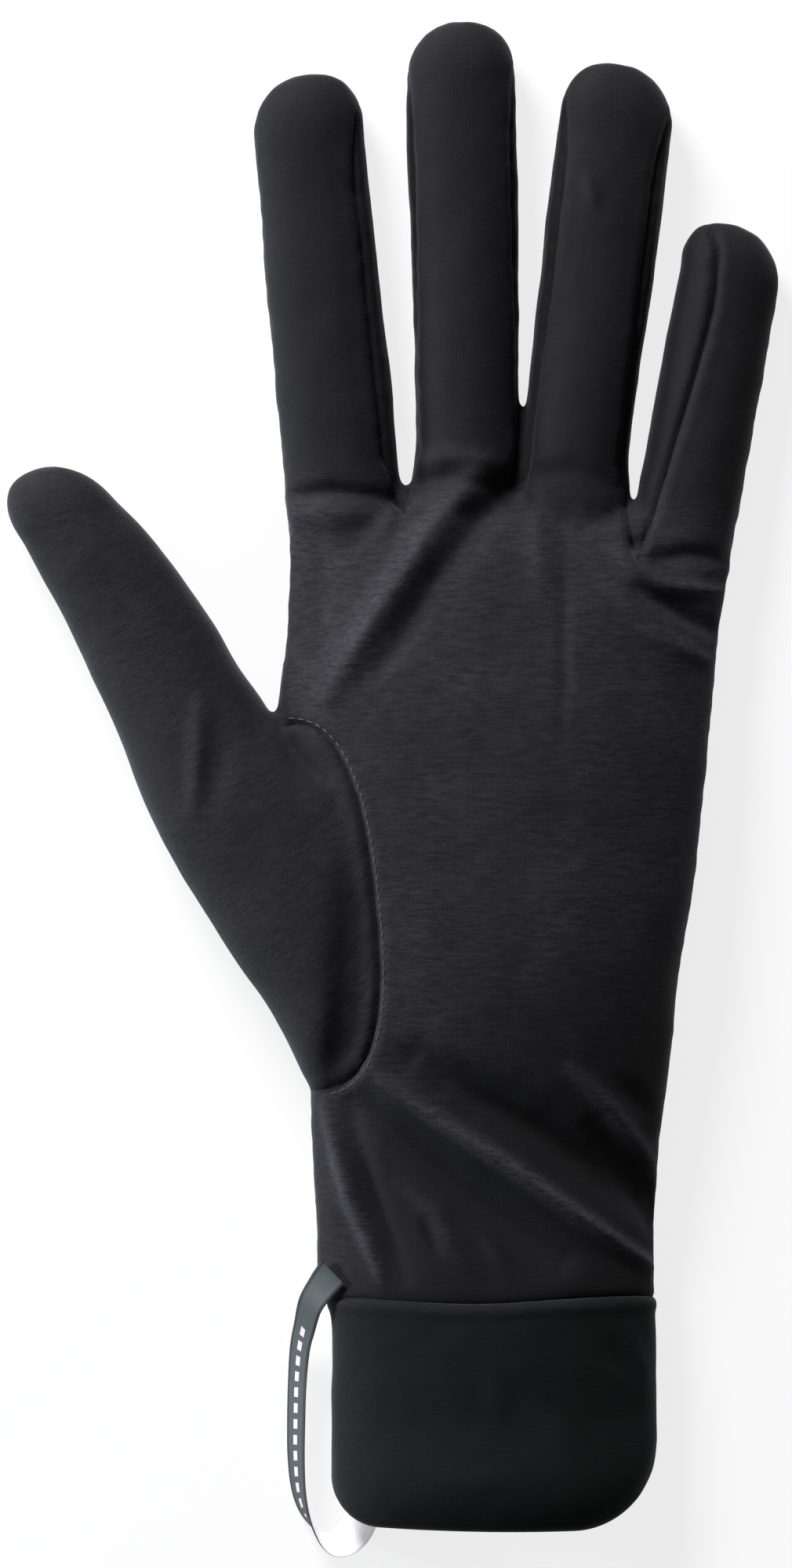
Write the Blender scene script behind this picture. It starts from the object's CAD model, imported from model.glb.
# The looks of a thin knit glove liner for the left hand, lying palm up on a plain floor.
# Its shapes are worked out in millimetres, from the middle of the cuff's open end: +X across the palm
# towards the little finger, +Y towards the fingertips, +Z up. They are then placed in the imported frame.
import math

import bmesh
import bpy
import numpy as np
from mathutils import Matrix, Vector, kdtree, noise
from mathutils.bvhtree import BVHTree


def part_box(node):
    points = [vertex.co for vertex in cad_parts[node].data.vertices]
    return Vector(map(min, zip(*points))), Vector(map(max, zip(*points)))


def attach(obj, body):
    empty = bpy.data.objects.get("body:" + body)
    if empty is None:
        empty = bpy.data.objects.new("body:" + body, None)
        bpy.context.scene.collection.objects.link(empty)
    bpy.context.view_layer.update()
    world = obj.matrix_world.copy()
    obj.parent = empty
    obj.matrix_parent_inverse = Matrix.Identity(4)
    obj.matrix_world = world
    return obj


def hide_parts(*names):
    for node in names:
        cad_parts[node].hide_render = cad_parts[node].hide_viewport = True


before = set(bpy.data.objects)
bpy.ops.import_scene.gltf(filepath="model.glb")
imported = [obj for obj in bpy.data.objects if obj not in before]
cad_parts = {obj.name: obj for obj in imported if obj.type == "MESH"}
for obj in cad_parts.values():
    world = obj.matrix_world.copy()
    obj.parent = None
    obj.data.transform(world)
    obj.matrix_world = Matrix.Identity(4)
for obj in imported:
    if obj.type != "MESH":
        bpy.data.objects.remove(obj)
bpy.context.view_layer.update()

MM = 0.001

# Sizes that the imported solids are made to
WRIST_WIDTH = 61.4
WRIST_HEIGHT = 19.0
CUFF_LENGTH = 42.6
CUFF_CORNER_LEFT = 8.5
CUFF_CORNER_RIGHT = 15.0
CUFF_SEAM = 42.9
HAND_LENGTH = 146.0
PALM_WIDTH = 79.0
PALM_HEIGHT = 22.5
KNUCKLE_FALL = 5.5
WEBS = CUFF_SEAM + HAND_LENGTH
FINGER_ROOT = 18.0
FINGER_HEIGHT = 13.5
THUMB_LENGTH = 128.0
THUMB_WIDTH = 26.0
THUMB_HEIGHT = 16.0
THUMB_HOLE_LENGTH = 67.0
THUMB_HOLE_WIDTH = 27.0
THUMB_HOLE_LEAN = 6.0
SEAM_INSET = 2.4
RIBBON_WIDTH = 6.2
LOOP_REACH = 6.3

# Form of a section: the height of its side as a share of its top, how far below it is pressed flat, how
# full its curve is, and how high the fingers lie
SIDE_SHARE = 0.42
PRESS_SHARE = 1.12
FULLNESS = 0.9
FINGER_CLEAR = 0.2

# How far past the shape a border that cuts, a body that is cut and the start of a ray lie
FAR = 60.0
PAST = 6.0

# Cloth as it is seen: VOXEL is the length of a mesh edge
KNIT_WALL = 0.9
HEM_WALL = 1.9
CUFF_TUCK = 1.6
VOXEL = 0.69

CUFF_WIDEST = 0.99
cuff_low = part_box("cuff_band")[0]
ORIGIN = np.array([cuff_low.x / MM + CUFF_WIDEST * WRIST_WIDTH / 2, cuff_low.y / MM, 0])


def add_object(name, data):
    thing = bpy.data.objects.new(name, data)
    bpy.context.scene.collection.objects.link(thing)
    return thing


def smoothstep(value, low, high):
    share = np.clip((np.asarray(value, float) - low) / (high - low), 0, 1)
    return share * share * (3 - 2 * share)


def bell(distance, width):
    """1 at no distance, falling off over a width."""
    return np.exp(-((distance / width) ** 2))


def along_rows(rows, names, column, at):
    """A column of a table at places along it, on a smooth curve through the rows."""
    table = np.array(rows, float)
    stations = table[:, 0]
    values = table[:, names.index(column)]
    slopes = np.gradient(values, stations)
    at = np.clip(np.atleast_1d(at), stations[0], stations[-1])
    after = np.clip(np.searchsorted(stations, at), 1, len(stations) - 1)
    start, end = stations[after - 1], stations[after]
    span = end - start
    t = (at - start) / span
    first = (2 * t**3 - 3 * t**2 + 1) * values[after - 1] + (t**3 - 2 * t**2 + t) * span * slopes[after - 1]
    return first + (3 * t**2 - 2 * t**3) * values[after] + (t**3 - t**2) * span * slopes[after]


def soft_ring(left, right, top, count, base=0.0, side=None, inset=0.0):
    """One section of a soft tube, from its right side point over the top, flat where it lies."""
    left, right = np.array(left, float), np.array(right, float)
    side = SIDE_SHARE * top if side is None else side
    width = np.linalg.norm(right - left)
    half = width / 2 - inset
    across = (right - left) / width
    upper = np.linspace(0, np.pi, count[0], endpoint=False)
    angle = np.concatenate([upper, np.pi + np.linspace(0, np.pi, count[1], endpoint=False)])
    out = np.sign(np.cos(angle)) * np.abs(np.cos(angle)) ** FULLNESS
    rise = np.abs(np.sin(angle)) ** FULLNESS
    plan = (left + right) / 2 + np.outer(half * out, across)
    above = side + (top - side - inset) * rise
    below = np.maximum(base + inset, side - (side * PRESS_SHARE - inset) * rise)
    height = np.where(np.arange(len(angle)) < count[0], above, below)
    return np.column_stack([plan, height])


TIP_STEPS = 14
TIP_BLUNT = 0.85


def tip_rings(last, centre, tip):
    """The rounded end of a finger: its last ring drawn in towards the tip over a quarter circle."""
    rings = []
    for angle in np.arange(1, TIP_STEPS) / TIP_STEPS * np.pi / 2:
        drawn = (last - centre) * math.cos(angle) ** TIP_BLUNT + centre + (tip - centre) * math.sin(angle)
        drawn[:, 2] = np.maximum(drawn[:, 2], FINGER_CLEAR)
        rings.append(drawn)
    return rings


def loft(rings, end_pole=None):
    """Points and faces of a closed body skinned over rings, with a pole at each end."""
    count = len(rings[0])
    end_pole = rings[-1].mean(0) if end_pole is None else end_pole
    points = np.vstack([*rings, rings[0].mean(0), end_pole])
    start, end = len(points) - 2, len(points) - 1
    i = np.arange(count)
    j = (i + 1) % count
    faces = []
    for low in range(0, (len(rings) - 1) * count, count):
        faces += np.column_stack([low + i, low + count + i, low + count + j, low + j]).tolist()
    last = (len(rings) - 1) * count
    faces += np.column_stack([np.full(count, start), i, j]).tolist()
    faces += np.column_stack([last + i, np.full(count, end), last + j]).tolist()
    return points, faces


# Hand: shares of half the width and of the height, from the cuff seam to the webs
HAND_RINGS = 70
HAND_AROUND = (72, 48)
PALM_WIDENS = (0.15, 0.75)
KNUCKLES_TURN = (0.62, 1)
HAND_NAMES = ("along", "left", "right", "top")
HAND_ROWS = [
    (0, -1.049, 0.951, 0.95),
    (0.1, -1.055, 0.954, 0.92),
    (0.2, -1.075, 0.985, 0.97),
    (0.3, -1.05, 1.001, 1.08),
    (0.4, -1.023, 0.99, 1.12),
    (0.5, -1.006, 0.998, 1.1),
    (0.6, -1.002, 0.989, 1.04),
    (0.7, -1.007, 0.999, 1),
    (0.76, -0.99, 1.013, 0.95),
    (0.82, -0.957, 1.03, 0.89),
    (0.88, -0.942, 1.058, 0.82),
    (0.94, -0.942, 1.096, 0.71),
    (0.98, -0.922, 1.099, 0.56),
    (1, -0.899, 1.078, 0.4),
]


def hand_top(along):
    share = smoothstep(along, *PALM_WIDENS)
    full = WRIST_HEIGHT + (PALM_HEIGHT - WRIST_HEIGHT) * share
    return along_rows(HAND_ROWS, HAND_NAMES, "top", along) * full


def hand_body():
    rings = []
    for along in np.linspace(0, 1, HAND_RINGS):
        half = (WRIST_WIDTH + (PALM_WIDTH - WRIST_WIDTH) * smoothstep(along, *PALM_WIDENS)) / 2
        turn = smoothstep(along, *KNUCKLES_TURN) * KNUCKLE_FALL / 2
        y = CUFF_SEAM + along * HAND_LENGTH
        left = along_rows(HAND_ROWS, HAND_NAMES, "left", along)[0] * half
        right = along_rows(HAND_ROWS, HAND_NAMES, "right", along)[0] * half
        rings.append(soft_ring((left, y + turn), (right, y - turn), hand_top(along)[0], HAND_AROUND))
    rings.insert(0, rings[0] - [0, PAST, 0])
    return loft(rings)


# Fingers: x and drop place the root, skew moves the tip across the finger, seam scales the seam's inset,
# foot scales the width just above the root and flare widens the root itself. Inside the palm the root is
# narrower by a share and its underside is raised, so that it runs into the palm without a step
FINGER_RINGS = 30
FINGER_AROUND = (40, 30)
FOOT_STARTS = (0.18, 0.34)
FOOT_ENDS = (0.4, 0.8)
FLARE_ENDS = (0.19, 0.29)
ROOT_TAPER = 13.0
ROOT_SLIM = 0.3
ROOT_RAISE = 3.5
FINGER_KEYS = ("x", "drop", "lean", "length", "width", "skew", "seam", "foot", "flare")
FINGERS = {
    "index": (-0.65, 0, -5.5, 77.0, 20.3, 0.9, 1.0, 1.03, 0.05),
    "middle": (-0.108, 0, -1.1, 86.0, 20.0, 0.3, 0.45, 0.93, 0.07),
    "ring": (0.295, 0, 7.05, 79.0, 20.8, -1.2, 0.9, 0.94, 0.07),
    "little": (0.79, 0.0486, 10.3, 57.2, 18.6, -2.0, 1.0, 1.0, 0.0),
}
FINGERS = {name: dict(zip(FINGER_KEYS, row)) for name, row in FINGERS.items()}
FINGER_NAMES = ("along", "width", "top")
FINGER_ROWS = [(0, 1, 1.06), (0.2, 1, 1.04), (0.45, 1, 1), (0.75, 1, 0.95), (1, 0.98, 0.92)]
FINGER_SIDE = SIDE_SHARE * FINGER_HEIGHT


def finger_plan(finger, reach):
    """The left side, middle and right side of a finger in plan at a distance from its root."""
    lean = math.radians(finger["lean"])
    along = np.array([math.sin(lean), math.cos(lean)])
    across = np.array([along[1], -along[0]]) * finger["width"] / 2
    root = np.array([finger["x"] * PALM_WIDTH / 2, WEBS - FINGER_ROOT - finger["drop"] * HAND_LENGTH])
    middle = root + along * reach
    return middle - across, middle, middle + across


def finger_body(finger):
    total = FINGER_ROOT + finger["length"]
    straight = total - finger["width"] / 2
    rings = []
    for along in np.linspace(0, 1, FINGER_RINGS):
        left, middle, right = finger_plan(finger, along * straight)
        width = along_rows(FINGER_ROWS, FINGER_NAMES, "width", along)[0]
        slim = smoothstep(along, *FOOT_STARTS) * (1 - smoothstep(along, *FOOT_ENDS))
        flare = finger["flare"] * (1 - smoothstep(along, *FLARE_ENDS))
        width *= 1 + (finger["foot"] - 1) * slim + flare
        inner = 1 - smoothstep(along * straight, 0, ROOT_TAPER)
        width *= 1 - ROOT_SLIM * inner
        top = along_rows(FINGER_ROWS, FINGER_NAMES, "top", along)[0] * FINGER_HEIGHT
        sides = (middle + (left - middle) * width, middle + (right - middle) * width)
        base = FINGER_CLEAR + ROOT_RAISE * inner
        rings.append(soft_ring(*sides, top, FINGER_AROUND, base=base, side=FINGER_SIDE))
    left, middle, right = finger_plan(finger, straight)
    centre = np.array([*middle, FINGER_SIDE])
    skew = (right - left) / finger["width"] * finger["skew"]
    tip = np.array([*(finger_plan(finger, total)[1] + skew), FINGER_SIDE])
    rings += tip_rings(rings[-1], centre, tip)
    return loft(rings, tip)


# Thumb: the middle of each section in shares of its length from the foot of its hole, shares of its width
# and of its hole's length that make the section's width, how far it is turned, and its share of the height
THUMB_RINGS = 40
THUMB_AROUND = (48, 36)
THUMB_FOOT = np.array([-0.4165 * PALM_WIDTH, CUFF_SEAM + 0.254 * HAND_LENGTH])
THUMB_NAMES = ("along", "x", "y", "width", "hole", "turn", "top")
THUMB_ROWS = [
    (0, 0.056, 0.157, 0, 0.645, 82.4, 1.12),
    (0.1, 0.031, 0.226, 0, 0.876, 82.3, 1.34),
    (0.2, -0.0125, 0.291, 0.3, 0.61, 77, 1.34),
    (0.31, -0.0615, 0.3535, 0.61, 0.362, 66.6, 1.3),
    (0.47, -0.1375, 0.4475, 1, 0.06, 46.4, 1.2),
    (0.59, -0.1785, 0.5325, 1, 0, 26.7, 1.1),
    (0.75, -0.236, 0.64, 0.91, 0, 25.3, 1),
    (0.88, -0.29, 0.731, 0.815, 0, 29.2, 0.93),
    (1, -0.348, 0.811, 0.71, 0, 23.6, 0.86),
]
THUMB_TIP = np.array([-0.405, 0.8825])


def thumb_body():
    rings = []
    for along in np.linspace(0, 1, THUMB_RINGS):
        x, y, width, hole, turn, top = (
            along_rows(THUMB_ROWS, THUMB_NAMES, name, along)[0] for name in THUMB_NAMES[1:]
        )
        middle = THUMB_FOOT + np.array([x, y]) * THUMB_LENGTH
        half = (width * THUMB_WIDTH + hole * THUMB_HOLE_LENGTH) / 2
        across = np.array([math.cos(math.radians(turn)), math.sin(math.radians(turn))]) * half
        sides = (middle - across, middle + across)
        rings.append(soft_ring(*sides, THUMB_HEIGHT * top, THUMB_AROUND, base=FINGER_CLEAR))
    height = SIDE_SHARE * THUMB_HEIGHT * THUMB_ROWS[-1][-1]
    tip = np.array([*(THUMB_FOOT + THUMB_TIP * THUMB_LENGTH), height])
    rings += tip_rings(rings[-1], np.array([*middle, height]), tip)
    return loft(rings, tip)


# The shell: one skin over the whole glove above the cuff
def join_bodies(bodies):
    points, faces = [], []
    for body_points, body_faces in bodies:
        first = sum(len(p) for p in points)
        points.append(body_points)
        faces += [[first + corner for corner in face] for face in body_faces]
    return np.vstack(points), faces


def one_skin(points, faces, voxel):
    """Even quads over the outside of bodies that pass through each other."""
    mesh = bpy.data.meshes.new("shell")
    mesh.from_pydata(points, [], faces)
    shell = add_object("shell", mesh)
    remesh = shell.modifiers.new("skin", "REMESH")
    remesh.mode = "VOXEL"
    remesh.voxel_size = voxel
    made = shell.evaluated_get(bpy.context.evaluated_depsgraph_get()).to_mesh()
    skin = np.empty(len(made.vertices) * 3, np.float32)
    made.vertices.foreach_get("co", skin)
    quads = np.empty(len(made.loops), np.int32)
    made.loops.foreach_get("vertex_index", quads)
    bpy.data.objects.remove(shell)
    bpy.data.meshes.remove(mesh)
    return skin.reshape(-1, 3).astype(float), quads.reshape(-1, 4)


def relax(points, quads, steps, share=1.0):
    """Each step draws every point towards, or pushes it away from, the mean of its neighbours."""
    pairs = np.sort(np.vstack([quads[:, [a, (a + 1) % 4]] for a in range(4)]), axis=1)
    pairs = np.unique(pairs, axis=0)
    count = len(points)
    degree = np.bincount(pairs.ravel(), minlength=count)[:, None]
    for pull in steps:
        total = np.column_stack(
            [
                np.bincount(pairs[:, 0], points[pairs[:, 1], axis], count)
                + np.bincount(pairs[:, 1], points[pairs[:, 0], axis], count)
                for axis in range(3)
            ]
        )
        points = points + pull * share * (total / degree - points)
    return points


# Seams, as borders in plan that differ above and below the side seam
def side_seam(y):
    along = np.clip((np.asarray(y) - CUFF_SEAM) / HAND_LENGTH, 0, 1)
    return np.maximum(SIDE_SHARE * hand_top(along), FINGER_SIDE)


# The thumb's hole: how round its oval is, how far the oval is moved, and how far the border under it is
HOLE_POINTS = 41
HOLE_ROUND = 0.77
HOLE_SHIFT = -0.03
HOLE_UNDER = 1.2


def thumb_borders():
    """The border of the thumb's panel above the side seam, a half oval, and the one below it."""
    lean = math.radians(THUMB_HOLE_LEAN)
    turn = np.array([[math.cos(lean), -math.sin(lean)], [math.sin(lean), math.cos(lean)]])
    centre = THUMB_FOOT + [HOLE_SHIFT * PALM_WIDTH, THUMB_HOLE_LENGTH / 2]
    angle = np.linspace(-0.5, 0.5, HOLE_POINTS) * np.pi
    out = THUMB_HOLE_WIDTH / 2 * np.abs(np.cos(angle)) ** HOLE_ROUND
    up = THUMB_HOLE_LENGTH / 2 * np.sign(angle) * np.abs(np.sin(angle)) ** HOLE_ROUND
    oval = np.column_stack([out, up]) @ turn.T + centre
    under = oval[[0, -1]] + [HOLE_UNDER, 0]
    borders = []
    for border in (oval, under):
        foot, web = border[0], border[-1]
        out_left = web[0] - 2 * FAR
        corners = [(out_left, foot[1]), (foot[0] - PAST, foot[1]), *border]
        borders.append(np.array([*corners, (web[0] - PAST, web[1] + FAR), (out_left, web[1] + FAR)]))
    return borders


# Side strips between the fingers: x and y place the foot of the seam in the web
STRIPS = {
    "fourchette_index_middle": dict(left="index", right="middle", x=-0.416, y=0.977),
    "fourchette_middle_ring": dict(left="middle", right="ring", x=0.109, y=0.989),
    "fourchette_ring_little": dict(left="ring", right="little", x=0.659, y=0.916),
}
# How far each seam lies in from the finger's side, in shares of the seam's inset: plain, and on a finger
# that is turned so that its strip shows
SEAM_POINTS = 15
SEAM_NAMES = ("along", "plain", "turned")
SEAM_ROWS = [(0.25, 0.9, 1.3), (0.45, 1, 2), (0.65, 1, 2.7), (0.83, 0.9, 3), (0.93, 0.3, 2.6)]


def seam_line(finger, right_side, turned):
    total = FINGER_ROOT + finger["length"]
    line = []
    for along in np.linspace(SEAM_ROWS[0][0], SEAM_ROWS[-1][0], SEAM_POINTS):
        left, middle, right = finger_plan(finger, along * total)
        share = along_rows(SEAM_ROWS, SEAM_NAMES, "turned" if turned else "plain", along)[0]
        edge = right if right_side else left
        line.append(edge + (middle - edge) * SEAM_INSET * finger["seam"] * share / (finger["width"] / 2))
    return line


def strip_borders(strip):
    foot = (strip["x"] * PALM_WIDTH / 2, CUFF_SEAM + strip["y"] * HAND_LENGTH)
    a, b = FINGERS[strip["left"]], FINGERS[strip["right"]]
    turned = strip["right"] == "little"
    return [
        np.array([foot, *seam_line(b, False, turned and over), *seam_line(a, True, False)[::-1]])
        for over in (True, False)
    ]


def inside_by(plan, polygon):
    """How far points in plan lie inside a polygon: less than zero outside it."""
    nearest = np.full(len(plan), np.inf)
    inside = np.zeros(len(plan), bool)
    for a, b in zip(polygon, np.roll(polygon, -1, axis=0)):
        run = b - a
        share = np.clip((plan - a) @ run / (run @ run), 0, 1)
        nearest = np.minimum(nearest, np.linalg.norm(plan - a - np.outer(share, run), axis=1))
        spans = (a[1] > plan[:, 1]) != (b[1] > plan[:, 1])
        cross = a[0] + (plan[:, 1] - a[1]) / (run[1] if run[1] else 1e-9) * run[0]
        inside ^= spans & (plan[:, 0] < cross)
    return np.where(inside, nearest, -nearest)


# A point moves onto the line when it lies nearer to it than this share of the edge
SNAP = 0.35


def lay_line(form, values_of, applies):
    """Lay the edges of a mesh along the line where a value is zero, near points moved, others split."""
    form.verts.index_update()
    points = np.array([v.co for v in form.verts])
    values = values_of(points)
    edges = list(form.edges)
    ends = np.array([(e.verts[0].index, e.verts[1].index) for e in edges])
    crosses = values[ends[:, 0]] * values[ends[:, 1]] < 0
    crosses &= applies((points[ends[:, 0]] + points[ends[:, 1]]) / 2)
    verts = list(form.verts)
    moved = {}
    for k in np.flatnonzero(crosses):
        a, b = ends[k]
        share = values[a] / (values[a] - values[b])
        if share < SNAP:
            moved.setdefault(int(a), points[a] + share * (points[b] - points[a]))
        elif share > 1 - SNAP:
            moved.setdefault(int(b), points[a] + share * (points[b] - points[a]))
    on_line = []
    for index, place in moved.items():
        verts[index].co = place
        points[index] = place
        values[index] = 0
        on_line.append(verts[index])
    for k in np.flatnonzero(crosses):
        a, b = ends[k]
        if values[a] * values[b] < 0:
            share = values[a] / (values[a] - values[b])
            on_line.append(bmesh.utils.edge_split(edges[k], verts[a], share)[1])
    bmesh.ops.connect_verts(form, verts=on_line)


# Steps that smooth the skin, and more of them round the thumb's hole, on the palm side
SMOOTHING = [0.5] * 5 + [0.5, -0.52] * 8
HOLE_SMOOTHING = [0.6] * 60
HOLE_REACH = 7.0
HOLE_HEIGHTS = (8, 13)


def anywhere(points):
    return np.full(len(points), True)


def above_seam(points):
    return points[:, 2] > side_seam(points[:, 1])


def below_seam(points):
    return ~above_seam(points)


def glove_shell():
    """Points and faces of the whole glove above the cuff, and the panel that each face belongs to."""
    bodies = [hand_body(), *(finger_body(finger) for finger in FINGERS.values()), thumb_body()]
    points, quads = one_skin(*join_bodies(bodies), VOXEL)
    points = relax(points, quads, SMOOTHING)
    from_hole = inside_by(points[:, :2], thumb_borders()[0])
    near_hole = bell(from_hole, HOLE_REACH) * smoothstep(points[:, 2], *HOLE_HEIGHTS)
    points = relax(points, quads, HOLE_SMOOTHING, near_hole[:, None])
    form = bmesh.new()
    verts = [form.verts.new(point) for point in points]
    for quad in quads.tolist():
        form.faces.new([verts[corner] for corner in quad])
    lay_line(form, lambda p: p[:, 1] - CUFF_SEAM + CUFF_TUCK, anywhere)
    bmesh.ops.delete(
        form,
        geom=[f for f in form.faces if f.calc_center_median().y < CUFF_SEAM - CUFF_TUCK],
        context="FACES",
    )
    lay_line(form, lambda p: p[:, 2] - side_seam(p[:, 1]), anywhere)
    regions = {"thumb": thumb_borders()}
    regions.update({name: strip_borders(strip) for name, strip in STRIPS.items()})
    for over, under in regions.values():
        lay_line(form, lambda p, edge=over: inside_by(p[:, :2], edge), above_seam)
        lay_line(form, lambda p, edge=under: inside_by(p[:, :2], edge), below_seam)
    bmesh.ops.triangulate(form, faces=[f for f in form.faces if len(f.verts) > 4])
    form.verts.index_update()
    points = np.array([v.co for v in form.verts])
    faces = [[v.index for v in f.verts] for f in form.faces]
    form.free()
    centres = np.array([points[face].mean(0) for face in faces])
    over_seam = above_seam(centres)
    labels = np.where(over_seam, "palm_panel", "back_panel").astype(object)
    for name, (over, under) in regions.items():
        inside = np.where(over_seam, inside_by(centres[:, :2], over), inside_by(centres[:, :2], under))
        labels[inside > 0] = name
    return points, faces, labels


def normals_of(points, faces):
    mesh = bpy.data.meshes.new("normals")
    mesh.from_pydata(points, [], faces)
    normals = np.empty(len(points) * 3, np.float32)
    mesh.vertex_normals.foreach_get("vector", normals)
    bpy.data.meshes.remove(mesh)
    return normals.reshape(-1, 3).astype(float)


def seam_points(faces, labels):
    """The points on the borders between panels."""
    sides = {}
    for face, label in zip(faces, labels):
        for a, b in zip(face, face[1:] + face[:1]):
            sides.setdefault((min(a, b), max(a, b)), []).append(label)
    return sorted({k for edge, found in sides.items() if len(set(found)) > 1 for k in edge})


def distance_to(points, chosen):
    tree = kdtree.KDTree(len(chosen))
    for k in chosen:
        tree.insert(points[k], k)
    tree.balance()
    return np.array([tree.find(point)[2] for point in points])


# Folds of the cloth: a line in plan, how wide and how high the fold is, less than zero for a valley
FOLDS = [
    # palm
    ([(-2, 194), (-12.6, 179.5), (-24, 162), (-30, 152)], 3.1, 2.5),
    ([(6, 196), (-3, 183), (-10.9, 172.5), (-16.2, 163.7), (-21, 156)], 2.5, -1.3),
    ([(4.5, 193), (1, 186)], 2.6, -1.4),
    ([(-18.5, 187.5), (-16, 187.5)], 1.8, -1.8),
    ([(25.5, 181.5), (26.3, 178)], 1.5, -1.5),
    ([(-34, 187), (-31, 176), (-32, 160)], 3.0, -0.9),
    ([(-38, 192), (-37, 172), (-37.5, 152)], 2.2, 0.8),
    ([(13, 186), (12.6, 160), (12, 142)], 1.3, -0.35),
    ([(8, 188), (8.5, 170)], 2.4, 0.6),
    ([(-16, 188), (-22, 180)], 1.8, 0.4),
    # little finger's side of the palm
    ([(22, 178), (26, 174.3), (31, 171.8), (42, 170.8)], 1.4, 1.4),
    ([(26, 171), (33, 167.5), (42, 163)], 1.9, -1.4),
    ([(27, 163.5), (34, 160.5), (41, 157)], 1.6, 0.9),
    ([(22, 172), (30, 163), (36, 155)], 3.0, 0.6),
    # creases at the roots of the fingers
    ([(-38, 188.5), (-29, 189), (-19, 188)], 1.6, -1.5),
    ([(-38, 184.5), (-28, 185), (-20, 184)], 2.4, 0.8),
    ([(-14, 194.5), (-8, 195.5), (-2, 195)], 1.7, 0.9),
    ([(-15, 191), (-8, 191.5), (-1, 190)], 1.5, -0.9),
    ([(27, 176.5), (35, 177.5), (42, 177)], 1.8, -1.3),
    ([(6, 192), (14, 193), (22, 190)], 2.2, -0.5),
    # ring finger
    ([(16.5, 247), (18.5, 241)], 1.2, 0.6),
    # thumb
    ([(-53.5, 151), (-54.3, 131)], 1.9, 0.9),
    ([(-49.5, 150), (-50.5, 134)], 2.6, -0.5),
    ([(-39, 147), (-36, 141), (-31, 137)], 1.8, -1.1),
    ([(-34, 136), (-30, 130)], 2.2, 0.5),
    ([(-72, 175), (-64, 168)], 3.0, -0.4),
    # wrist
    ([(-23, 84), (-10, 75), (3, 66.5), (16, 57), (29, 47.5)], 1.7, 2.5),
    ([(-28, 80), (-14, 70), (-3, 61), (12, 50)], 3.4, -2.3),
    ([(-14, 86), (8, 73), (20, 64), (30, 57)], 4.2, -2.6),
    ([(14, 84), (21, 77), (26, 70), (30, 64)], 1.8, 1.4),
    ([(18, 73), (25, 64), (30, 58)], 2.8, -1.8),
    ([(23, 82), (28, 76)], 2.0, -0.8),
    ([(-30.5, 77), (-26, 60), (-20, 45)], 1.5, 1.7),
    ([(-27, 78), (-22, 61), (-16, 46)], 1.8, -1.0),
    ([(-13, 57), (-10, 51)], 1.0, -0.6),
    ([(-17, 63), (-11, 58), (-6, 49)], 1.8, 0.6),
    ([(-2, 54), (2, 47)], 1.3, 0.4),
]


def near_line(plan, line):
    """The distance of points in plan to a line, and how far along it they lie, from 0 to 1."""
    line = np.array(line, float)
    lengths = np.linalg.norm(np.diff(line, axis=0), axis=1)
    total = lengths.sum()
    nearest = np.full(len(plan), np.inf)
    along = np.zeros(len(plan))
    start = 0.0
    for a, b, length in zip(line, line[1:], lengths):
        share = np.clip((plan - a) @ (b - a) / length**2, 0, 1)
        distance = np.linalg.norm(plan - a - np.outer(share, b - a), axis=1)
        closer = distance < nearest
        nearest[closer] = distance[closer]
        along[closer] = (start + share[closer] * length) / total
        start += length
    return nearest, along


# Shares of a fold's height and width that are left at its ends, and where along its line those ends are
FOLD_END_HEIGHT = 0.25
FOLD_END_WIDTH = 0.6
FOLD_ENDS = (0.02, 0.98)


def fold_lift(plan):
    lift = np.zeros(len(plan))
    for line, width, height in FOLDS:
        distance, along = near_line(plan, line)
        taper = np.sin(np.pi * np.clip(along, *FOLD_ENDS)) ** 0.7
        taper = FOLD_END_HEIGHT + (1 - FOLD_END_HEIGHT) * taper
        reach = width * (FOLD_END_WIDTH + (1 - FOLD_END_WIDTH) * taper)
        lift += height * taper * bell(distance, reach)
    return lift


def cloth_noise(points, size, seed):
    """Smooth noise, about one wave in each size, from -1 to 1."""
    shift = Vector((seed * 17.3, seed * 7.1, seed * 3.7))
    return np.array([noise.noise(Vector(point) / size + shift) for point in points])


# Sag of the cuff's seam: how deep, around which x, and how far it reaches across, up and along
BOW_DEPTH = 1.5
BOW_CENTRE = -4.0
BOW_WIDTH = 19.0
BOW_LEVEL = 0.25
BOW_HEIGHTS = (8, 15)
BOW_REACH = 9.0


def seam_bow(points):
    """How far the cuff's seam sags towards the open end, over the palm side."""
    sag = bell(points[:, 0] - BOW_CENTRE, BOW_WIDTH) - BOW_LEVEL
    return -BOW_DEPTH * sag * smoothstep(points[:, 2], *BOW_HEIGHTS)


# Relief of the shell: the size, height and seed of each noise, then depths and widths along the seams
CLOTH_LOFT = 0.1
CLOTH_WAVES = [(17, 0.4, 1), (6, 0.14, 2)]
PUCKER_SIZE = 2.6
PUCKER_HEIGHT = 0.16
PUCKER_REACH = 3.0
GROOVE_DEPTH = 0.75
GROOVE_WIDTH = 0.65
GROOVE_BELOW = 0.12
SEAM_RIDGE = 0.12
RIDGE_ASIDE = 2.0
RIDGE_WIDTH = 1.0
CUFF_PRESS = 0.35
PRESS_REACH = 0.9
TUCK_DEPTH = 1.3
TUCK_ENDS = (-1.2, -0.2)
INSIDE_CLEAR = 0.25


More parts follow.
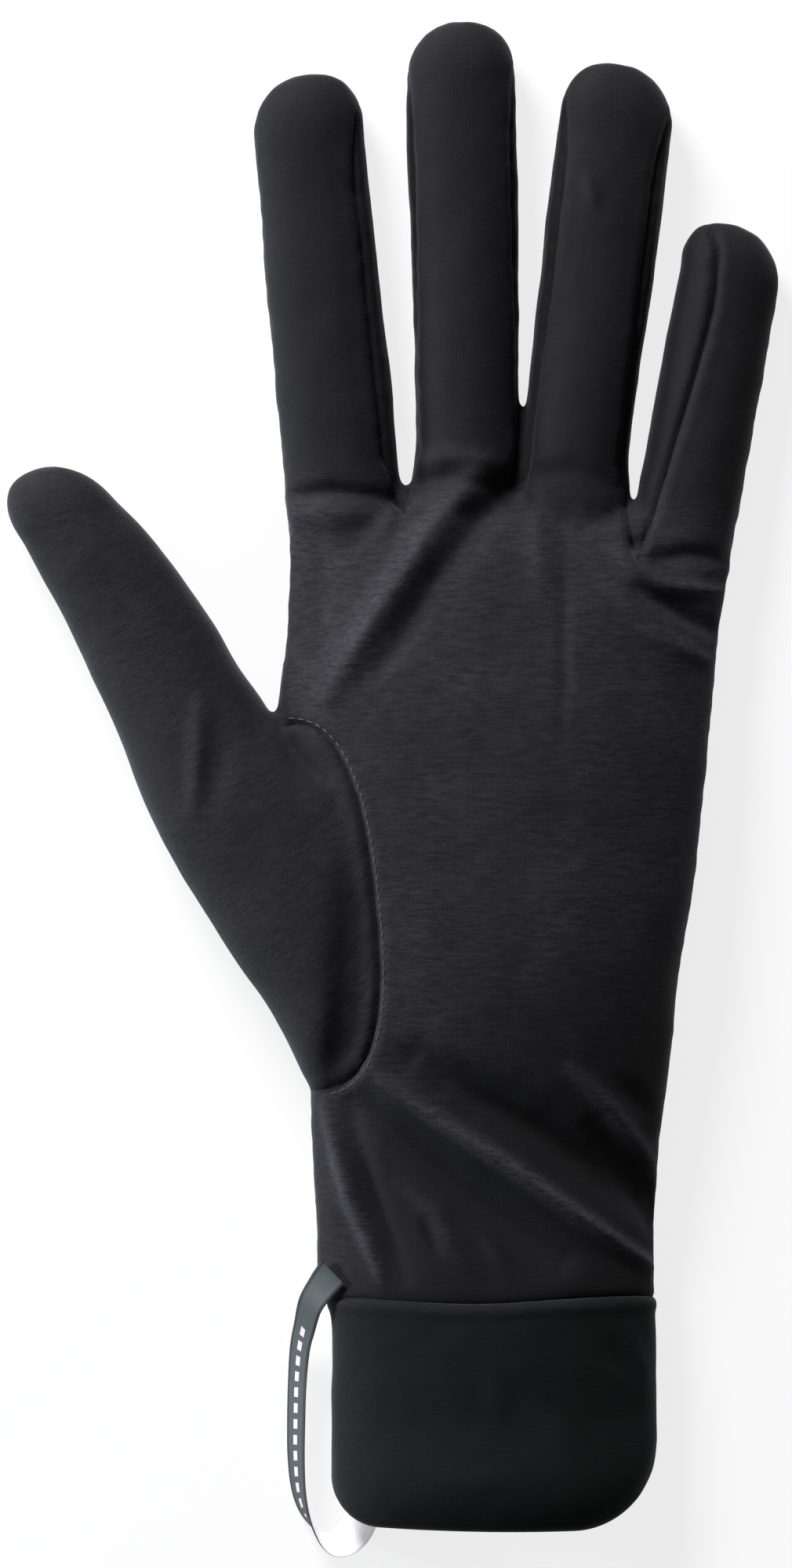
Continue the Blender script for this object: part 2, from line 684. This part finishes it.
def wrinkled(points, faces, labels):
    """The shell with its folds, puckers and seams pressed in, and how high the folds stand."""
    normals = normals_of(points, faces)
    facing_up = smoothstep(normals[:, 2], 0.15, 0.7)
    from_seam = distance_to(points, seam_points(faces, labels))
    from_cuff = points[:, 1] - CUFF_SEAM
    folds = fold_lift(points[:, :2]) * facing_up * smoothstep(from_cuff, 0, 4)
    lift = folds + CLOTH_LOFT
    for size, height, seed in CLOTH_WAVES:
        lift += height * cloth_noise(points, size, seed)
    puckers = PUCKER_HEIGHT * cloth_noise(points, PUCKER_SIZE, 3)
    lift += puckers * bell(from_seam, PUCKER_REACH)
    on_top = GROOVE_BELOW + (1 - GROOVE_BELOW) * smoothstep(normals[:, 2], 0.3, 0.9)
    lift -= GROOVE_DEPTH * bell(from_seam, GROOVE_WIDTH) * on_top
    lift += SEAM_RIDGE * bell(from_seam - RIDGE_ASIDE, RIDGE_WIDTH) * facing_up
    lift -= CUFF_PRESS * np.exp(-np.maximum(from_cuff, 0) / PRESS_REACH) * (0.3 + 0.7 * facing_up)
    lift -= TUCK_DEPTH * (1 - smoothstep(from_cuff, *TUCK_ENDS))
    points = points + normals * lift[:, None]
    points[:, 1] += seam_bow(points) * np.exp(-np.maximum(from_cuff, 0) / BOW_REACH)
    points[:, 2] = np.maximum(points[:, 2], 0)
    return points, folds


def panel_mesh(points, normals, faces, wall):
    """One panel with its thickness: outside, inside and the edges that join them."""
    used = np.unique(np.concatenate([np.array(face) for face in faces]))
    place = {int(k): i for i, k in enumerate(used)}
    outer = [[place[k] for k in face] for face in faces]
    count = len(used)
    inner = [[k + count for k in reversed(face)] for face in outer]
    edges = {}
    for face in outer:
        for a, b in zip(face, face[1:] + face[:1]):
            if (b, a) in edges:
                del edges[(b, a)]
            else:
                edges[(a, b)] = True
    rim = [[b, a, a + count, b + count] for a, b in edges]
    inside = points[used] - normals[used] * wall
    inside[:, 2] = np.maximum(inside[:, 2], INSIDE_CLEAR)
    return np.vstack([points[used], inside]), outer + inner + rim, used


# Cuff: shares of half the width and of the height, from its open end to its seam
CUFF_NAMES = ("along", "left", "right", "top")
CUFF_ROWS = [
    (0, -0.964, 0.968, 0.94),
    (0.05, -0.964, 0.968, 1),
    (0.5, -0.964, 0.968, 1.01),
    (0.9, -0.97, 0.964, 1),
    (1, -0.99, 0.958, 0.99),
]
CUFF_LEFT = CUFF_ROWS[0][1] * WRIST_WIDTH / 2
CUFF_BOW = 1.1
CUFF_BOW_AT = 4.0
CUFF_FOLDS = [
    ([(24, 38), (27, 30), (27, 22)], 1.5, 0.4),
    ([(20, 36), (23, 28)], 1.6, -0.35),
    ([(-1, 32), (1, 20)], 2.0, 0.25),
    ([(-14, 12), (-4, 9), (6, 10)], 2.4, 0.2),
    ([(6, 24), (12, 18), (15, 12)], 2.2, 0.3),
]


# The hem's folded edge at the seam: how far below the seam, and how far in from the outside
HEM_EDGE = [(1.2, HEM_WALL), (0.5, 1.5), (0, 0.9), (0.15, 0.35), (0.7, 0.0)]
CUFF_AROUND = (150, 110)
CUFF_WAVES = [(15, 0.25, 4), (5, 0.1, 5)]
# The bulge of the hem at the seam, and the paler line on it: how far below the seam and how wide
HEM_BULGE = 0.35
BULGE_AT = 1.6
BULGE_WIDTH = 1.1
EDGE_AT = 1.4
EDGE_WIDTH = 1.0
INSIDE_RELIEF = 0.2


def cuff_mesh():
    """A band of cloth folded double: over the outside, round the open end and back up the inside."""
    turn = HEM_WALL / 2
    profile = [(CUFF_LENGTH - below, inset) for below, inset in HEM_EDGE]
    profile += [(y, 0.0) for y in np.linspace(CUFF_LENGTH - 1.3, turn, 58)]
    profile += [
        (turn - turn * math.sin(angle), turn - turn * math.cos(angle))
        for angle in np.linspace(0, np.pi, 9)[1:-1]
    ]
    profile += [(y, HEM_WALL) for y in np.linspace(turn, CUFF_LENGTH - 2.5, 36)]
    rings = []
    for y, inset in profile:
        along = y / CUFF_LENGTH
        left, right, top = (along_rows(CUFF_ROWS, CUFF_NAMES, name, along)[0] for name in CUFF_NAMES[1:])
        half = WRIST_WIDTH / 2
        ring = soft_ring((left * half, y), (right * half, y), top * WRIST_HEIGHT, CUFF_AROUND, inset=inset)
        radius = np.where(ring[:, 0] < 0, CUFF_CORNER_LEFT, CUFF_CORNER_RIGHT)
        into = np.clip(np.abs(ring[:, 0]) - (abs(CUFF_LEFT) - radius), 0, radius)
        ring[:, 1] += (radius - np.sqrt(radius**2 - into**2)) * (1 - along) ** 2
        ring[:, 1] += CUFF_BOW * ((ring[:, 0] - CUFF_BOW_AT) / half) ** 2 * (1 - along) ** 2
        rings.append(ring)
    count = sum(CUFF_AROUND)
    points = np.vstack(rings)
    i = np.arange(count)
    j = (i + 1) % count
    faces = []
    for k in range(len(rings)):
        low = k * count
        high = (k + 1) % len(rings) * count
        faces += np.column_stack([low + i, low + j, high + j, high + i]).tolist()
    normals = normals_of(points, faces)
    facing_up = smoothstep(normals[:, 2], -0.1, 0.5)
    lift = sum(height * cloth_noise(points, size, seed) for size, height, seed in CUFF_WAVES)
    folds = np.zeros(len(points))
    for line, width, height in CUFF_FOLDS:
        distance, along = near_line(points[:, :2], line)
        folds += height * np.sin(np.pi * along) * bell(distance, width) * facing_up
    lift += folds
    lift += HEM_BULGE * bell(points[:, 1] - CUFF_LENGTH + BULGE_AT, BULGE_WIDTH)
    lift *= np.repeat([INSIDE_RELIEF if inset > 0.5 else 1.0 for y, inset in profile], count)
    points += normals * lift[:, None]
    points[:, 1] += seam_bow(points) * np.exp((points[:, 1] - CUFF_LENGTH) / BOW_REACH)
    points[:, 2] = np.maximum(points[:, 2], 0)
    edge = bell(points[:, 1] - CUFF_LENGTH - seam_bow(points) + EDGE_AT, EDGE_WIDTH) * facing_up
    return points, faces, folds + edge


# Hang loop: out is a share of its reach from the cuff's left side, along a share of the cuff's length,
# rise a share of the wrist's height, and lean how far the ribbon's face turns up
LOOP_ROWS = [
    (-0.04, 1.105, 0.735, 76),
    (0.28, 1.045, 0.625, 60),
    (0.61, 0.965, 0.5, 48),
    (0.8, 0.86, 0.3, 40),
    (0.93, 0.76, 0.2, 36),
    (1, 0.62, 0, 33),
    (1.03, 0.46, 0, 32),
    (1.03, 0.3, 0, 30),
    (0.95, 0.16, 0, 24),
    (0.74, 0.055, 0, 12),
    (0.36, -0.03, 0, -10),
    (-0.06, -0.07, 0, -42),
    (-0.45, -0.05, 0, -70),
    (-0.76, 0.005, 0, -86),
    (-0.92, 0.09, 0, -90),
    (-0.98, 0.25, 0, -90),
    (-1.02, 0.6, 0, -90),
    (-1.06, 0.98, 0.11, -90),
]
RIBBON_STEPS = 420
RIBBON_THICK = 0.9
RIBBON_SEEN = 0.6
RIBBON_COLUMNS = 19
# The beads along the ribbon's edges: their place, height and width, and where its thickness ends
BEAD = (0.9, 0.35, 0.08)
BEAD_END = 0.98


def on_curve(rows, count):
    """Points at even steps of the parameter on a smooth curve through all the rows."""
    rows = np.array(rows, float)
    padded = np.vstack([2 * rows[0] - rows[1], rows, 2 * rows[-1] - rows[-2]])
    at = np.linspace(0, len(rows) - 1, count)
    k = np.minimum(at.astype(int), len(rows) - 2)
    t = (at - k)[:, None]
    a, b, c, d = (padded[k + step] for step in range(4))
    return b + 0.5 * t * (c - a + t * (2 * a - 5 * b + 4 * c - d + t * (3 * (b - c) + d - a)))


def ribbon_mesh():
    lean = np.radians(on_curve([[row[3]] for row in LOOP_ROWS], RIBBON_STEPS)[:, 0])
    edge_height = (RIBBON_WIDTH * np.abs(np.cos(lean)) + RIBBON_THICK * np.abs(np.sin(lean))) / 2
    rows = []
    for out, along, rise, turn in LOOP_ROWS:
        turn = math.radians(turn)
        low = (RIBBON_WIDTH * abs(math.cos(turn)) + RIBBON_THICK * abs(math.sin(turn))) / 2
        rows.append((CUFF_LEFT - out * LOOP_REACH, along * CUFF_LENGTH, max(rise * WRIST_HEIGHT, low)))
    centre = on_curve(rows, RIBBON_STEPS)
    centre[:, 2] = np.maximum(centre[:, 2], edge_height)
    tangent = np.gradient(centre, axis=0)
    tangent /= np.linalg.norm(tangent, axis=1)[:, None]
    outward = np.cross(tangent, [0, 0, 1])
    outward /= np.linalg.norm(outward, axis=1)[:, None]
    up = np.cross(outward, tangent)
    face = outward * np.cos(lean)[:, None] + up * np.sin(lean)[:, None]
    edge = np.cross(tangent, face)
    length = np.concatenate([[0], np.cumsum(np.linalg.norm(np.diff(centre, axis=0), axis=1))])
    columns = np.linspace(-1, 1, RIBBON_COLUMNS)
    place, height, width = BEAD
    bead = 0.5 + height * bell(np.abs(columns) - place, width)
    bead = bead - 0.4 * (np.abs(columns) > BEAD_END)
    section = [(c, b) for c, b in zip(columns, bead)]
    section += [(c, -b) for c, b in zip(columns[::-1], bead[::-1])]
    points = []
    strip = []
    for k in range(len(centre)):
        for across, thick in section:
            points.append(
                centre[k] + edge[k] * across * RIBBON_WIDTH / 2 + face[k] * thick * RIBBON_SEEN / 2
            )
            strip.append((length[k], across * RIBBON_WIDTH / 2, thick))
    count = len(section)
    faces = []
    sides = []
    for k in range(len(centre) - 1):
        for i in range(count):
            j = (i + 1) % count
            faces.append([k * count + i, k * count + j, (k + 1) * count + j, (k + 1) * count + i])
            sides.append(1 if len(columns) <= i < count - 1 else 0)
    last = (len(centre) - 1) * count
    faces += [list(range(count))[::-1], [last + i for i in range(count)]]
    sides += [0, 0]
    return np.array(points), faces, sides, strip


# Stitches: short rounded bars of thread that lie along a seam
def bar(start, end, radius, rise):
    """A stitch between two points that arches over the cloth."""
    steps = 6
    corners = 6
    along = (end - start) / np.linalg.norm(end - start)
    side = np.cross(along, [0, 0, 1])
    side /= np.linalg.norm(side)
    up = np.cross(side, along)
    points = []
    for k in range(steps + 1):
        share = k / steps
        centre = start + (end - start) * share + up * rise * math.sin(math.pi * share)
        size = radius * (0.35 + 0.65 * math.sin(math.pi * min(max(share, 0.08), 0.92)) ** 0.5)
        for corner in range(corners):
            angle = corner / corners * 2 * math.pi
            points.append(centre + side * size * math.cos(angle) + up * size * math.sin(angle))
    faces = [list(range(corners))[::-1], [steps * corners + c for c in range(corners)]]
    for k in range(0, steps * corners, corners):
        for c in range(corners):
            d = (c + 1) % corners
            faces.append([k + c, k + d, k + corners + d, k + corners + c])
    return np.array(points), faces


def onto(tree, plan, lift):
    """A place on the cloth under a point in plan, raised along the cloth's own direction."""
    hit = tree.ray_cast(Vector((plan[0], plan[1], FAR)), Vector((0, 0, -1)))
    return np.array(hit[0] + hit[1] * lift)


def resampled(line, pitch):
    line = np.array(line)
    length = np.concatenate([[0], np.cumsum(np.linalg.norm(np.diff(line, axis=0), axis=1))])
    at = np.arange(pitch / 2, length[-1], pitch)
    return np.column_stack([np.interp(at, length, line[:, axis]) for axis in range(2)])


STITCH_ASIDE = 0.9
STITCH_PITCH = 1.7
STITCH_LENGTH = 1.25
STITCH_RISE = 0.12
STITCH_SUNK = 0.02
THREAD = 0.26


# Finishes, with the sizes of their patterns in millimetres
WALE = 0.56
COURSE = 0.42
RIB_PITCH = 0.42
YARN_PITCH = 0.36
SELVEDGE_ASIDE = 2.35
SELVEDGE_DARK = (0.018, 0.022, 0.022, 1)
DASH_PITCH = 2.9
DASH_SHARE = 0.6
DASH_ASIDE = 0.65
DASH_PALE = (0.46, 0.43, 0.46, 1)
DASHES_RUN = (14, 50)
STRAND_PITCH = 0.3
TO_MM = (1 / MM, 1 / MM, 1 / MM)

# Dark and light colour of each cloth, and the tint of the knit's sheen
PALM_TINT = (0.8, 0.84, 1, 1)
KNIT = {
    "panels": ((0.0036, 0.0034, 0.004, 1), (0.027, 0.025, 0.0308, 1), PALM_TINT),
    "thumb": ((0.0038, 0.0035, 0.0041, 1), (0.016, 0.015, 0.0175, 1), PALM_TINT),
    "strips": ((0.003, 0.0028, 0.0033, 1), (0.009, 0.0085, 0.01, 1), PALM_TINT),
    "cuff": ((0.0036, 0.0042, 0.0042, 1), (0.0125, 0.014, 0.0145, 1), (0.8, 0.92, 1, 1)),
}
THREAD_GREY = ((0.03, 0.029, 0.033, 1), (0.075, 0.073, 0.082, 1))
RIBBON_GREY = ((0.026, 0.032, 0.032, 1), (0.06, 0.07, 0.072, 1))
RIBBON_WHITE = ((0.86, 0.84, 0.9, 1), (0.94, 0.93, 0.97, 1))


class Finish:
    """A material and the few calls that build its nodes."""

    def __init__(self, name, **values):
        self.material = bpy.data.materials.new(name)
        self.material.use_nodes = True
        self.nodes = self.material.node_tree.nodes
        self.links = self.material.node_tree.links
        self.shader = self.nodes["Principled BSDF"]
        for socket, value in values.items():
            self.shader.inputs[socket.replace("_", " ")].default_value = value

    def put(self, socket, source):
        if isinstance(source, (int, float, tuple)):
            socket.default_value = source
        else:
            self.links.new(source, socket)

    def add(self, kind, output=0, inputs=(), **settings):
        node = self.nodes.new("ShaderNode" + kind)
        for name, value in settings.items():
            setattr(node, name, value)
        for index, source in dict(inputs).items():
            self.put(node.inputs[index], source)
        return node.outputs[output]

    def coat(self, colour, normal):
        self.put(self.shader.inputs["Base Color"], colour)
        self.put(self.shader.inputs["Normal"], normal)
        return self.material

    def parts(self, vector):
        return self.add("SeparateXYZ", inputs={0: vector}).node.outputs

    def times(self, a, b):
        return self.math("MULTIPLY", a, b)

    def math(self, operation, a, b=0.0, c=0.0):
        return self.add("Math", inputs={0: a, 1: b, 2: c}, operation=operation)

    def scaled(self, vector, scale):
        return self.add("VectorMath", inputs={0: vector, 1: scale}, operation="MULTIPLY")

    def noise(self, vector, scale, detail=3.0, rough=0.6):
        inputs = {"Vector": vector, "Scale": scale, "Detail": detail, "Roughness": rough}
        return self.add("TexNoise", inputs=inputs)

    def mix(self, share, a, b):
        return self.add("Mix", output=2, inputs={0: share, 6: a, 7: b}, data_type="RGBA")

    def bump(self, height, depth, strength, under=None):
        inputs = {"Strength": strength, "Distance": depth, "Height": height}
        if under is not None:
            inputs["Normal"] = under
        return self.add("Bump", inputs=inputs)

    def jersey(self, u, v):
        """Height of plain knit: columns of loops that each make a small V."""
        column = self.math("FRACT", self.math("DIVIDE", u, WALE))
        aside = self.times(self.math("ABSOLUTE", self.math("SUBTRACT", column, 0.5)), 2.0)
        row = self.math("MULTIPLY_ADD", aside, 0.55, self.math("DIVIDE", v, COURSE))
        loop = self.math("MULTIPLY_ADD", self.math("SINE", self.times(row, math.tau)), 0.5, 0.5)
        groove = self.math("SUBTRACT", 1.0, self.math("POWER", aside, 3.0))
        return self.times(loop, groove)


def knit_finish(name, dark, light, tint, turn=0.0, streak=0.75, gloss=0.16):
    sheen = {"Sheen_Weight": 0.1, "Sheen_Roughness": 0.4, "Sheen_Tint": tint}
    finish = Finish(name, Roughness=0.78, Specular_IOR_Level=gloss, **sheen)
    stretch = finish.add("Attribute", output=2, attribute_name="stretch")
    where = finish.add("TexCoord", output=3)
    facing = finish.add("TexCoord", output=1)
    if turn:
        rotate = {"Vector": where, "Angle": turn}
        where = finish.add("VectorRotate", inputs=rotate, rotation_type="Z_AXIS")
    place = finish.scaled(where, TO_MM)
    drift = {"Vector": place, "Scale": 0.35, "Detail": 2.0}
    drift = finish.add("TexNoise", output=1, inputs=drift)
    drifted = {0: drift, 1: (0.9, 0.9, 0.9), 2: place}
    place = finish.add("VectorMath", inputs=drifted, operation="MULTIPLY_ADD")
    parts = finish.parts(place)
    side = finish.parts(facing)[0]
    side = finish.add("MapRange", inputs={0: finish.math("ABSOLUTE", side), 1: 0.6, 2: 0.85})
    over = finish.jersey(parts[0], parts[1])
    beside = finish.jersey(parts[2], parts[1])
    over = finish.times(over, finish.math("SUBTRACT", 1.0, side))
    loops = finish.math("ADD", over, finish.times(beside, side))
    streaks = finish.noise(finish.scaled(place, (0.35, 1.7, 0.8)), 1.0, 3.0, 0.7)
    streaks = finish.add("MapRange", inputs={0: streaks, 1: 0.32, 2: 0.7})
    fuzz = finish.noise(place, 1.6, 2.0, 0.7)
    clouds = finish.noise(place, 0.06, 3.0, 0.6)
    share = finish.math("MULTIPLY_ADD", streaks, streak, finish.times(loops, 0.2))
    share = finish.times(share, finish.math("MULTIPLY_ADD", clouds, 1.2, 0.25))
    share = finish.times(share, stretch)
    wool = finish.bump(fuzz, 0.13 * MM, 0.6)
    height = finish.math("MULTIPLY_ADD", loops, 0.6, finish.times(streaks, 0.5))
    return finish.coat(finish.mix(share, dark, light), finish.bump(height, 0.09 * MM, 0.6, wool))


def ribbon_finish(name, dark, light, marks=None, gloss=0.4, glow=0.0):
    """Woven ribbon: fine cross ribs, darker selvedges, and a row of plain dashes where it has marks."""
    finish = Finish(name, Roughness=0.6, Specular_IOR_Level=gloss, Emission_Strength=glow)
    strip = finish.add("Attribute", output=1, attribute_name="strip")
    along, across = finish.parts(strip)[:2]
    rib = finish.math("SINE", finish.times(along, math.tau / RIB_PITCH))
    yarn = finish.math("SINE", finish.times(across, math.tau / YARN_PITCH))
    weave = finish.math("MULTIPLY_ADD", finish.times(rib, yarn), 0.5, 0.5)
    mottled = finish.noise(finish.scaled(strip, (1.0, 3.0, 0.0)), 1.0)
    share = finish.math("MULTIPLY_ADD", weave, 0.35, finish.times(mottled, 0.6))
    colour = finish.mix(share, dark, light)
    if marks:
        aside = finish.math("ABSOLUTE", across)
        selvedge = finish.math("GREATER_THAN", aside, SELVEDGE_ASIDE)
        colour = finish.mix(selvedge, colour, SELVEDGE_DARK)
        step = finish.math("FRACT", finish.math("DIVIDE", along, DASH_PITCH))
        narrow = finish.math("LESS_THAN", aside, DASH_ASIDE)
        dash = finish.times(narrow, finish.math("LESS_THAN", step, DASH_SHARE))
        begin = finish.math("GREATER_THAN", along, marks[0])
        end = finish.math("LESS_THAN", along, marks[1])
        dash = finish.times(dash, finish.times(begin, end))
        colour = finish.mix(dash, colour, DASH_PALE)
    return finish.coat(colour, finish.bump(weave, 0.025 * MM, 0.3))


def thread_finish(name, dark, light):
    """Sewing thread: twisted strands, seen as slanting bands."""
    finish = Finish(name, Roughness=0.55, Specular_IOR_Level=0.3)
    where = finish.add("TexCoord", output=3)
    place = finish.scaled(where, TO_MM)
    parts = finish.parts(place)
    slant = finish.math("ADD", parts[0], finish.math("ADD", parts[1], parts[2]))
    strands = finish.math("SINE", finish.times(slant, math.tau / STRAND_PITCH))
    share = finish.math("MULTIPLY_ADD", strands, 0.3, finish.noise(place, 2.0))
    return finish.coat(finish.mix(share, dark, light), finish.bump(strands, 0.03 * MM, 0.6))


# Pieces
def stretch_of(points, raised):
    """How far the cloth is stretched and so lightened: over the palm and along the crests of folds."""
    x, y = points[:, 0], points[:, 1]
    off_fingers = 1 - smoothstep(y + 0.1 * x, WEBS - 8, WEBS + 6)
    off_wrist = smoothstep(y - 0.5 * x, CUFF_SEAM + 18, CUFF_SEAM + 66)
    wrist_side = 0.6 * smoothstep(-x, 18, 27)
    crest = (1.2 - 0.95 * off_wrist) * np.maximum(raised, 0) + 0.1 * np.minimum(raised, 0)
    plain = 0.06 + 0.12 * off_wrist * off_fingers + 0.07 * (1 - off_fingers)
    return np.maximum(plain + 0.8 * off_fingers * np.maximum(off_wrist, wrist_side) + crest, 0)


def place_piece(name, points, faces, slot, replaced, materials, sides=None, strip=None, raised=0.0):
    mesh = bpy.data.meshes.new(name)
    mesh.from_pydata((points + ORIGIN) * MM, [], faces)
    for material in materials:
        mesh.materials.append(material)
    mesh.polygons.foreach_set("use_smooth", [True] * len(faces))
    if sides:
        mesh.polygons.foreach_set("material_index", sides)
    if strip:
        layer = mesh.attributes.new("strip", "FLOAT_VECTOR", "POINT")
        layer.data.foreach_set("vector", np.array(strip, np.float32).ravel())
    else:
        layer = mesh.attributes.new("stretch", "FLOAT", "POINT")
        layer.data.foreach_set("value", stretch_of(points, raised).astype(np.float32))
    mesh.update()
    mesh.set_sharp_from_angle(angle=math.radians(50))
    piece = add_object(name, mesh)
    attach(piece, "root")
    if replaced:
        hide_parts(replaced)


# Camera, floor and light, in metres
VIEW_SPAN = 0.286
VIEW_CENTRE = (-0.0004, 0.0014)
VIEW_HEIGHT = 2.4
VIEW_LEVEL = 0.007
SENSOR = 36
FLOOR_REACH = 6.0
FLOOR_LEVEL = -0.0002
FLOOR_GREY = (0.17, 0.17, 0.17, 1)
FLOOR_GLOW = 0.81
WORLD_COLOUR = (0.95, 0.97, 1, 1)
WORLD_LIGHT = 0.12
# Place, size, power and colour of each light
LIGHTS = {
    "key": ((-0.5, 1.08, 0.66), 0.5, 34, (1, 0.985, 1)),
    "side": ((-1.3, 0.1, 0.22), 0.3, 24, (0.84, 0.9, 1)),
}


def make_camera():
    data = bpy.data.cameras.new("camera")
    data.sensor_fit = "VERTICAL"
    data.sensor_height = SENSOR
    data.lens = SENSOR * (VIEW_HEIGHT - VIEW_LEVEL) / VIEW_SPAN
    data.clip_end = 20
    camera = add_object("camera", data)
    camera.location = (*VIEW_CENTRE, VIEW_HEIGHT)
    bpy.context.scene.camera = camera


def make_light(name, place, size, power, colour):
    data = bpy.data.lights.new(name, "AREA")
    data.shape = "DISK"
    data.size = size
    data.energy = power
    data.color = colour
    light = add_object(name, data)
    light.location = place
    light.rotation_euler = (-light.location).to_track_quat("-Z", "Y").to_euler()


def make_surroundings():
    mesh = bpy.data.meshes.new("floor")
    sides = ((-1, -1), (1, -1), (1, 1), (-1, 1))
    corners = [(x * FLOOR_REACH, y * FLOOR_REACH, FLOOR_LEVEL) for x, y in sides]
    mesh.from_pydata(corners, [], [(0, 1, 2, 3)])
    table = Finish("floor_pale", Base_Color=FLOOR_GREY, Roughness=0.9, Specular_IOR_Level=0.0)
    table.shader.inputs["Emission Color"].default_value = (1, 1, 1, 1)
    table.shader.inputs["Emission Strength"].default_value = FLOOR_GLOW
    mesh.materials.append(table.material)
    add_object("floor", mesh)
    world = bpy.data.worlds.new("studio")
    world.use_nodes = True
    background = world.node_tree.nodes["Background"]
    background.inputs["Color"].default_value = WORLD_COLOUR
    background.inputs["Strength"].default_value = WORLD_LIGHT
    bpy.context.scene.world = world
    bpy.context.scene.view_settings.view_transform = "Standard"
    for name, light in LIGHTS.items():
        make_light(name, *light)


def make_glove():
    points, faces, labels = glove_shell()
    points, folds = wrinkled(points, faces, labels)
    normals = normals_of(points, faces)
    panels = knit_finish("knit_panels", *KNIT["panels"])
    thumb = knit_finish("knit_thumb", *KNIT["thumb"], turn=-0.45)
    strips = knit_finish("knit_strips", *KNIT["strips"])
    finishes = {"thumb": thumb, "fourchette_index_middle": strips, "fourchette_middle_ring": strips}
    for name in ("palm_panel", "back_panel", "thumb", *STRIPS):
        chosen = [face for face, label in zip(faces, labels) if label == name]
        panel_points, panel_faces, used = panel_mesh(points, normals, chosen, KNIT_WALL)
        raised = np.tile(folds[used], 2)
        finish = finishes.get(name, panels)
        place_piece(
            name + "_cloth", panel_points, panel_faces, "knit_black", name, [finish], raised=raised
        )
    return points, faces


def make_seam_stitches(points, faces):
    """A line of topstitching on the palm, along the seam of the thumb's hole."""
    tree = BVHTree.FromPolygons(points.tolist(), faces)
    oval = thumb_borders()[0][2:-2]
    run = np.gradient(oval, axis=0)
    away = np.column_stack([run[:, 1], -run[:, 0]]) / np.linalg.norm(run, axis=1)[:, None]
    line = resampled(oval + away * STITCH_ASIDE, STITCH_PITCH)
    bars = []
    for before, here, after in zip(line, line[1:], line[2:]):
        half = (after - before) / np.linalg.norm(after - before) * STITCH_LENGTH / 2
        ends = (onto(tree, here - half, -STITCH_SUNK), onto(tree, here + half, -STITCH_SUNK))
        bars.append(bar(*ends, THREAD / 2, STITCH_RISE))
    thread = thread_finish("thread_grey", *THREAD_GREY)
    place_piece("thumb_seam_stitches", *join_bodies(bars), "knit_black", None, [thread])


def make_cuff():
    points, faces, raised = cuff_mesh()
    finish = knit_finish("knit_cuff", *KNIT["cuff"], streak=0.55, gloss=0.1)
    place_piece("cuff_band_cloth", points, faces, "cuff_knit", "cuff_band", [finish], raised=raised)


def make_loop():
    points, faces, sides, strip = ribbon_mesh()
    face = ribbon_finish("ribbon_face", *RIBBON_GREY, marks=DASHES_RUN, gloss=0.2)
    reverse = ribbon_finish("ribbon_reverse", *RIBBON_WHITE, glow=0.3)
    finishes = [face, reverse]
    place_piece("hang_loop_ribbon", points, faces, "ribbon_grey", "hang_loop", finishes, sides, strip)


make_camera()
make_surroundings()
shell_points, shell_faces = make_glove()
make_seam_stitches(shell_points, shell_faces)
make_cuff()
make_loop()
